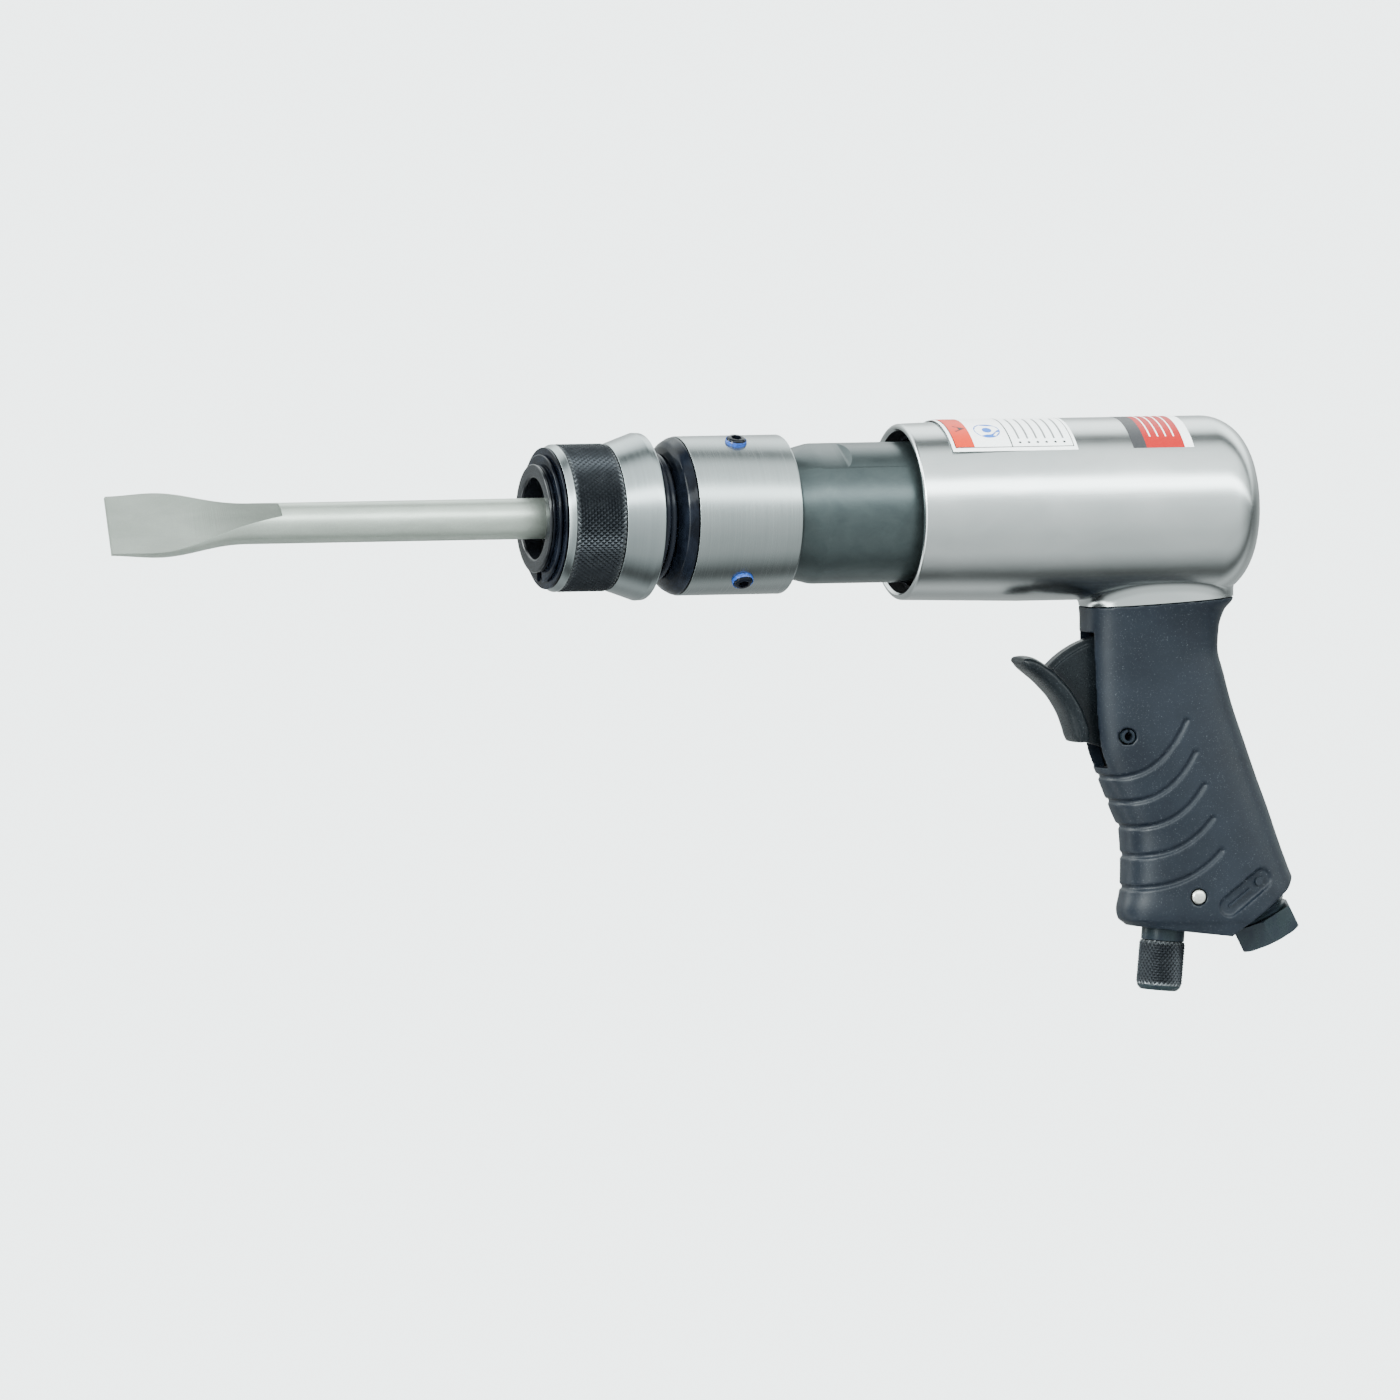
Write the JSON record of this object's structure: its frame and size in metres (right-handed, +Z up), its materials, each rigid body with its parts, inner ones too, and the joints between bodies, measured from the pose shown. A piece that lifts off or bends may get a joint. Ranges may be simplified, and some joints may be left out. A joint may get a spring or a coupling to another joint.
{
  "type": "pneumatic rivet gun",
  "caption": "Pistol-grip percussive air hammer with finger trigger, knurled regulator, quick-change retainer and flat chisel.",
  "frame": {"origin": "centre of the housing's flat rear face, on the barrel's axis", "axes": "+X along the barrel towards the rear, the nose points to -X; +Z up, away from the grip; +Y to the right of the user"},
  "size_m": [0.3897, 0.0566, 0.179],
  "materials": {
    "polished_aluminium": "polished",
    "satin_steel": "satin, fine turned lines",
    "dark_steel": "dark blued, semi-gloss",
    "black_steel": "black oxide, oiled",
    "forged_steel": "matte blasted",
    "black_composite": "fine grain",
    "black_rubber": "satin",
    "brass": "machined",
    "spring_steel": "dark oiled",
    "bright_pin": "ground"
  },
  "bodies": {
    "frame": {"housing": "polished_aluminium", "grip": "black_composite", "barrel": "dark_steel", "barrel_o_ring": "black_rubber", "exhaust_deflector": "black_rubber", "chisel_bushing": "brass", "valve_block_rear": "dark_steel", "valve_block_front": "dark_steel", "valve_dowel": "bright_pin", "retainer_body": "black_steel", "retainer_collar": "satin_steel", "set_screw_1": "black_steel", "set_screw_2": "black_steel", "set_screw_3": "black_steel", "retainer_spring": "spring_steel", "retaining_washer": "black_steel", "snap_ring": "black_steel", "nose_ring": "black_rubber", "trigger_pin": "black_steel", "throttle_guide": "brass", "throttle_seat": "brass", "throttle_plug": "brass", "throttle_spring": "spring_steel", "regulator_retaining_pin": "bright_pin", "inlet_bushing": "black_steel", "inlet_screen": "brass"},
    "trigger": {"trigger": "black_composite"},
    "throttle": {"throttle_valve": "bright_pin"},
    "regulator": {"regulator_knob": "black_steel", "regulator_o_ring": "black_rubber"},
    "sleeve": {"release_sleeve": "satin_steel", "knurled_ring": "black_steel"},
    "ball_1": {"locking_ball_1": "satin_steel"},
    "ball_2": {"locking_ball_2": "satin_steel"},
    "ball_3": {"locking_ball_3": "satin_steel"},
    "piston": {"piston": "satin_steel"},
    "valve": {"valve_disc": "satin_steel"},
    "chisel": {"chisel": "forged_steel"}
  },
  "joints": [
    {"name": "trigger_pivot", "type": "hinge", "parent": "frame", "child": "trigger", "pos_m": [-0.0418, 0, -0.0704], "axis": [0, 1, 0], "range_deg": [0, 13], "stiffness_Nm_per_rad": 0.5, "springref_deg": -8.59},
    {"name": "throttle_slide", "type": "slide", "parent": "frame", "child": "throttle", "axis": [1, 0, 0], "range_m": [0, 0.00285], "deforming": ["throttle_spring"]},
    {"name": "sleeve_slide", "type": "slide", "parent": "frame", "child": "sleeve", "axis": [1, 0, 0], "range_m": [0, 0.005], "stiffness_N_per_m": 1500, "springref_m": -0.005, "deforming": ["retainer_spring"]},
    {"name": "ball_1_slide", "type": "slide", "parent": "frame", "child": "ball_1", "axis": [0, 0, 1], "range_m": [0, 0.00167]},
    {"name": "ball_2_slide", "type": "slide", "parent": "frame", "child": "ball_2", "axis": [0, 0.866, -0.5], "range_m": [0, 0.00167]},
    {"name": "ball_3_slide", "type": "slide", "parent": "frame", "child": "ball_3", "axis": [0, -0.866, -0.5], "range_m": [0, 0.00167]},
    {"name": "piston_slide", "type": "slide", "parent": "frame", "child": "piston", "axis": [-1, 0, 0], "range_m": [0, 0.09]},
    {"name": "valve_slide", "type": "slide", "parent": "frame", "child": "valve", "axis": [-1, 0, 0], "range_m": [0, 0.0013]},
    {"name": "chisel_slide", "type": "slide", "parent": "frame", "child": "chisel", "axis": [-1, 0, 0], "range_m": [0, 0.0032]},
    {"name": "regulator_turn", "type": "hinge", "parent": "frame", "child": "regulator", "pos_m": [-0.026, 0, -0.133], "axis": [-0.0872, 0, -0.9962], "range_deg": [0, 180]}
  ],
  "couplings": [
    {"joint": "throttle_slide", "follows": "trigger_pivot", "m_per_rad": 0.0125},
    {"joint": "ball_1_slide", "follows": "sleeve_slide", "ratio": 0.33},
    {"joint": "ball_2_slide", "follows": "sleeve_slide", "ratio": 0.33},
    {"joint": "ball_3_slide", "follows": "sleeve_slide", "ratio": 0.33}
  ]
}
